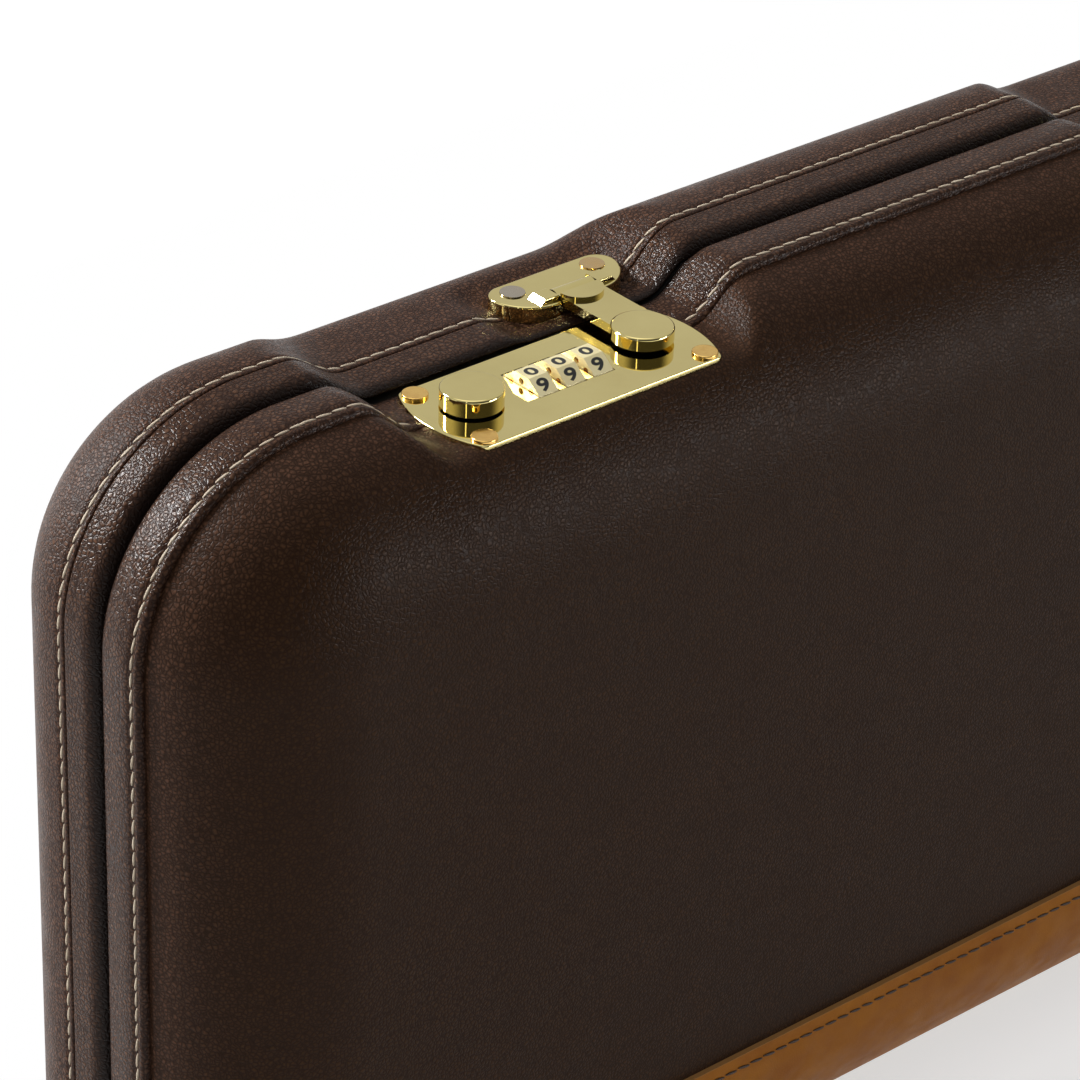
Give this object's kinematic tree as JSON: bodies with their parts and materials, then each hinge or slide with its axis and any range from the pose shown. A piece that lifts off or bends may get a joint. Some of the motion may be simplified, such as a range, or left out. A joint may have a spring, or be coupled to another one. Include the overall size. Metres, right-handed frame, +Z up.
{
  "type": "leather-covered carrying case",
  "caption": "Long slim hard case in dark-brown stitched leather with brass combination latches, tan leather base guards and a carrying handle; it hinges open along the bottom.",
  "frame": {"origin": "on the ground under the middle of the case, in the plane of the seam", "axes": "+X along the case to the right, +Y to the rear (the lid), +Z up"},
  "size_m": [0.82, 0.097, 0.3069],
  "materials": {
    "brown_leather": "dark brown, pebbled, semi-matt",
    "tan_leather": "smooth tan, semi-matt",
    "shell_plastic": "moulded black plastic",
    "lining_cloth": "short-pile lining cloth",
    "frame_aluminium": "dark anodised extrusion",
    "polished_brass": "mirror polish",
    "dial_brass": "pale polished brass with printed numbers",
    "plain_steel": "plain steel"
  },
  "bodies": {
    "base": {"front_shell": "shell_plastic", "front_cover": "brown_leather", "front_rim_band": "brown_leather", "front_base_guard": "tan_leather", "front_lining": "lining_cloth", "front_rim_frame": "frame_aluminium", "front_feet": "polished_brass", "hinge_leaf_front": "polished_brass", "hinge_rivets_front": "polished_brass", "handle_brackets": "polished_brass", "handle_bracket_rivets": "polished_brass", "hinge_pin": "plain_steel", "handle_pins": "plain_steel", "left_latch_plate": "polished_brass", "left_latch_rivets": "polished_brass", "left_latch_housing": "plain_steel", "left_dial_spindle": "plain_steel", "right_latch_plate": "polished_brass", "right_latch_rivets": "polished_brass", "right_latch_housing": "plain_steel", "right_dial_spindle": "plain_steel"},
    "lid": {"rear_shell": "shell_plastic", "rear_cover": "brown_leather", "rear_rim_band": "brown_leather", "rear_base_guard": "tan_leather", "rear_lining": "lining_cloth", "rear_rim_frame": "frame_aluminium", "rear_feet": "polished_brass", "hinge_leaf_rear": "polished_brass", "hinge_rivets_rear": "polished_brass", "left_hasp_pin": "plain_steel", "left_keeper": "polished_brass", "left_keeper_rivets": "polished_brass", "right_hasp_pin": "plain_steel", "right_keeper": "polished_brass", "right_keeper_rivets": "polished_brass"},
    "handle": {"handle_frame": "polished_brass", "handle_grip": "brown_leather"},
    "left_dial_1_wheel": {"left_dial_1": "dial_brass"},
    "left_dial_2_wheel": {"left_dial_2": "dial_brass"},
    "left_dial_3_wheel": {"left_dial_3": "dial_brass"},
    "left_release": {"left_release_knob": "polished_brass", "left_release_bolt": "plain_steel"},
    "left_hasp_arm": {"left_hasp": "polished_brass", "left_hasp_knob": "polished_brass"},
    "right_dial_1_wheel": {"right_dial_1": "dial_brass"},
    "right_dial_2_wheel": {"right_dial_2": "dial_brass"},
    "right_dial_3_wheel": {"right_dial_3": "dial_brass"},
    "right_release": {"right_release_knob": "polished_brass", "right_release_bolt": "plain_steel"},
    "right_hasp_arm": {"right_hasp": "polished_brass", "right_hasp_knob": "polished_brass"}
  },
  "joints": [
    {"name": "lid_hinge", "type": "hinge", "parent": "base", "child": "lid", "pos_m": [0, 0, 0.0045], "axis": [-1, 0, 0], "range_deg": [0, 100]},
    {"name": "handle_swing", "type": "hinge", "parent": "base", "child": "handle", "pos_m": [0, -0.015, 0.2634], "axis": [1, 0, 0], "range_deg": [-85, 90]},
    {"name": "left_hasp_swing", "type": "hinge", "parent": "lid", "child": "left_hasp_arm", "pos_m": [-0.2618, 0.0092, 0.256], "axis": [-1, 0, 0], "range_deg": [0, 115]},
    {"name": "left_release_slide", "type": "slide", "parent": "base", "child": "left_release", "axis": [-1, 0, 0], "range_m": [0, 0.0035], "stiffness_N_per_m": 300, "springref_m": -0.001},
    {"name": "left_dial_1_turn", "type": "hinge", "parent": "base", "child": "left_dial_1_wheel", "pos_m": [-0.2964, -0.0166, 0.249], "axis": [1, 0, 0], "continuous": true},
    {"name": "left_dial_2_turn", "type": "hinge", "parent": "base", "child": "left_dial_2_wheel", "pos_m": [-0.288, -0.0166, 0.249], "axis": [1, 0, 0], "continuous": true},
    {"name": "left_dial_3_turn", "type": "hinge", "parent": "base", "child": "left_dial_3_wheel", "pos_m": [-0.2796, -0.0166, 0.249], "axis": [1, 0, 0], "continuous": true},
    {"name": "right_hasp_swing", "type": "hinge", "parent": "lid", "child": "right_hasp_arm", "pos_m": [0.3142, 0.0092, 0.256], "axis": [-1, 0, 0], "range_deg": [0, 115]},
    {"name": "right_release_slide", "type": "slide", "parent": "base", "child": "right_release", "axis": [-1, 0, 0], "range_m": [0, 0.0035], "stiffness_N_per_m": 300, "springref_m": -0.001},
    {"name": "right_dial_1_turn", "type": "hinge", "parent": "base", "child": "right_dial_1_wheel", "pos_m": [0.2796, -0.0166, 0.249], "axis": [1, 0, 0], "continuous": true},
    {"name": "right_dial_2_turn", "type": "hinge", "parent": "base", "child": "right_dial_2_wheel", "pos_m": [0.288, -0.0166, 0.249], "axis": [1, 0, 0], "continuous": true},
    {"name": "right_dial_3_turn", "type": "hinge", "parent": "base", "child": "right_dial_3_wheel", "pos_m": [0.2964, -0.0166, 0.249], "axis": [1, 0, 0], "continuous": true}
  ]
}
